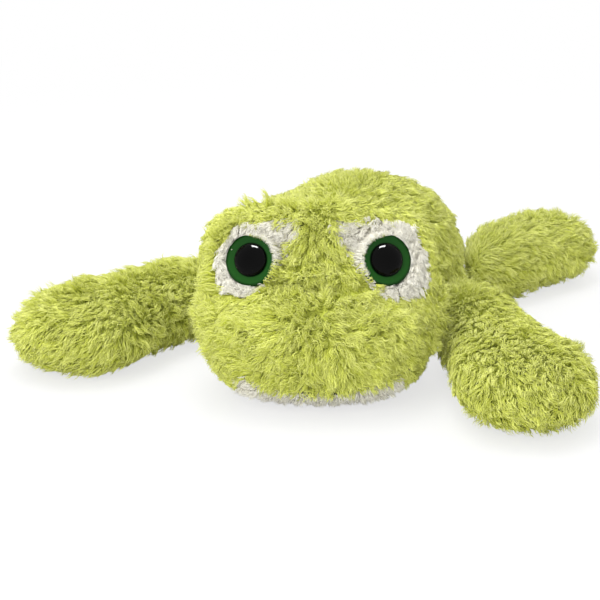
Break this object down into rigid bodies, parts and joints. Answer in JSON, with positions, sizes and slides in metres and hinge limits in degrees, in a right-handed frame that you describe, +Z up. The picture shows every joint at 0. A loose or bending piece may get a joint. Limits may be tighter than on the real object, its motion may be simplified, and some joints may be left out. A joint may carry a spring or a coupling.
{
  "type": "plush frog",
  "caption": "Lime green long-pile plush frog lying on its belly, with cream eye patches and jaw, two-piece safety eyes and four floppy paddle limbs sewn to a stuffed trunk",
  "frame": {"origin": "under the middle of the toy's outline, on the surface that its belly, chin and paddles lie on", "axes": "+Z up, the face looks along -Y, +X is to the right of someone who faces the toy; the trunk trails behind the head and turns 17 degrees towards +X"},
  "size_m": [0.2784, 0.2856, 0.0849],
  "materials": {
    "lime_plush": "long curly pile",
    "cream_plush": "short curly pile",
    "stuffing": "loose polyester fibre",
    "pouch_cloth": "plain woven",
    "black_cloth": "matt woven",
    "green_plastic": "polished",
    "black_plastic": "polished",
    "white_plastic": "moulded"
  },
  "bodies": {
    "torso": {"back_cover": "lime_plush", "belly_panel": "cream_plush", "torso_filling": "stuffing", "pellet_pouch": "pouch_cloth"},
    "head": {"crown_cover": "lime_plush", "chin_panel": "cream_plush", "muzzle_cover_left": "lime_plush", "eye_patch_left": "cream_plush", "iris_disc_left": "green_plastic", "pupil_button_left": "black_plastic", "lock_washer_left": "white_plastic", "muzzle_cover_right": "lime_plush", "eye_patch_right": "cream_plush", "iris_disc_right": "green_plastic", "pupil_button_right": "black_plastic", "lock_washer_right": "white_plastic", "mouth_lining": "black_cloth", "head_filling": "stuffing"},
    "front_left_limb": {"front_left_cover": "lime_plush", "front_left_sole": "lime_plush", "front_left_filling": "stuffing"},
    "front_right_limb": {"front_right_cover": "lime_plush", "front_right_sole": "lime_plush", "front_right_filling": "stuffing"},
    "hind_left_limb": {"hind_left_cover": "lime_plush", "hind_left_sole": "lime_plush", "hind_left_filling": "stuffing"},
    "hind_right_limb": {"hind_right_cover": "lime_plush", "hind_right_sole": "lime_plush", "hind_right_filling": "stuffing"}
  },
  "joints": [
    {"name": "neck_nod", "type": "hinge", "parent": "torso", "child": "head", "pos_m": [0.00516, -0.0305, 0.03], "axis": [-1, 0, 0], "range_deg": [-10, 18]},
    {"name": "front_left_lift", "type": "hinge", "parent": "torso", "child": "front_left_limb", "pos_m": [-0.03377, 0.0065, 0.02408], "axis": [-0.0698, 0.9976, 0], "range_deg": [-30, 36]},
    {"name": "front_right_lift", "type": "hinge", "parent": "torso", "child": "front_right_limb", "pos_m": [0.05813, -0.0216, 0.02408], "axis": [-0.9272, -0.3746, 0], "range_deg": [-30, 22]},
    {"name": "hind_left_lift", "type": "hinge", "parent": "torso", "child": "hind_left_limb", "pos_m": [-0.01478, 0.05193, 0.02126], "axis": [0.9994, 0.0349, 0], "range_deg": [-30, 36]},
    {"name": "hind_right_lift", "type": "hinge", "parent": "torso", "child": "hind_right_limb", "pos_m": [0.06779, 0.02669, 0.02126], "axis": [0.7547, -0.6561, 0], "range_deg": [-30, 36]}
  ]
}
